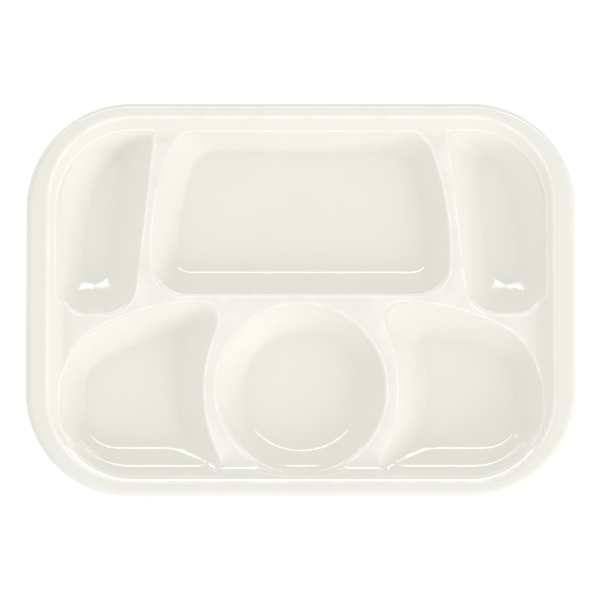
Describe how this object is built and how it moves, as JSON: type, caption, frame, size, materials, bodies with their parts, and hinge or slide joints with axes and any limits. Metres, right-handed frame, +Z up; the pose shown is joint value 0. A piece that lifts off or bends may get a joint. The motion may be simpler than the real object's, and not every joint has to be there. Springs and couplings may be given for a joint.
{
  "type": "compartment tray",
  "caption": "Shallow ivory meal tray with rounded corners, a turned-down lip and moulded wells of different shapes that keep foods apart.",
  "frame": {"origin": "on the table under the middle of the tray", "axes": "+X along the length to the user's right, +Y away from the user towards the main well, +Z up"},
  "size_m": [0.356, 0.255, 0.025],
  "materials": {
    "melamine": "glossy moulded ivory melamine"
  },
  "bodies": {
    "root": {"rim": "melamine", "deck": "melamine", "main_well_wall": "melamine", "main_well_floor": "melamine", "left_side_well_wall": "melamine", "left_side_well_floor": "melamine", "right_side_well_wall": "melamine", "right_side_well_floor": "melamine", "round_well_wall": "melamine", "round_well_floor": "melamine", "front_left_well_wall": "melamine", "front_left_well_floor": "melamine", "front_right_well_wall": "melamine", "front_right_well_floor": "melamine"}
  },
  "joints": []
}
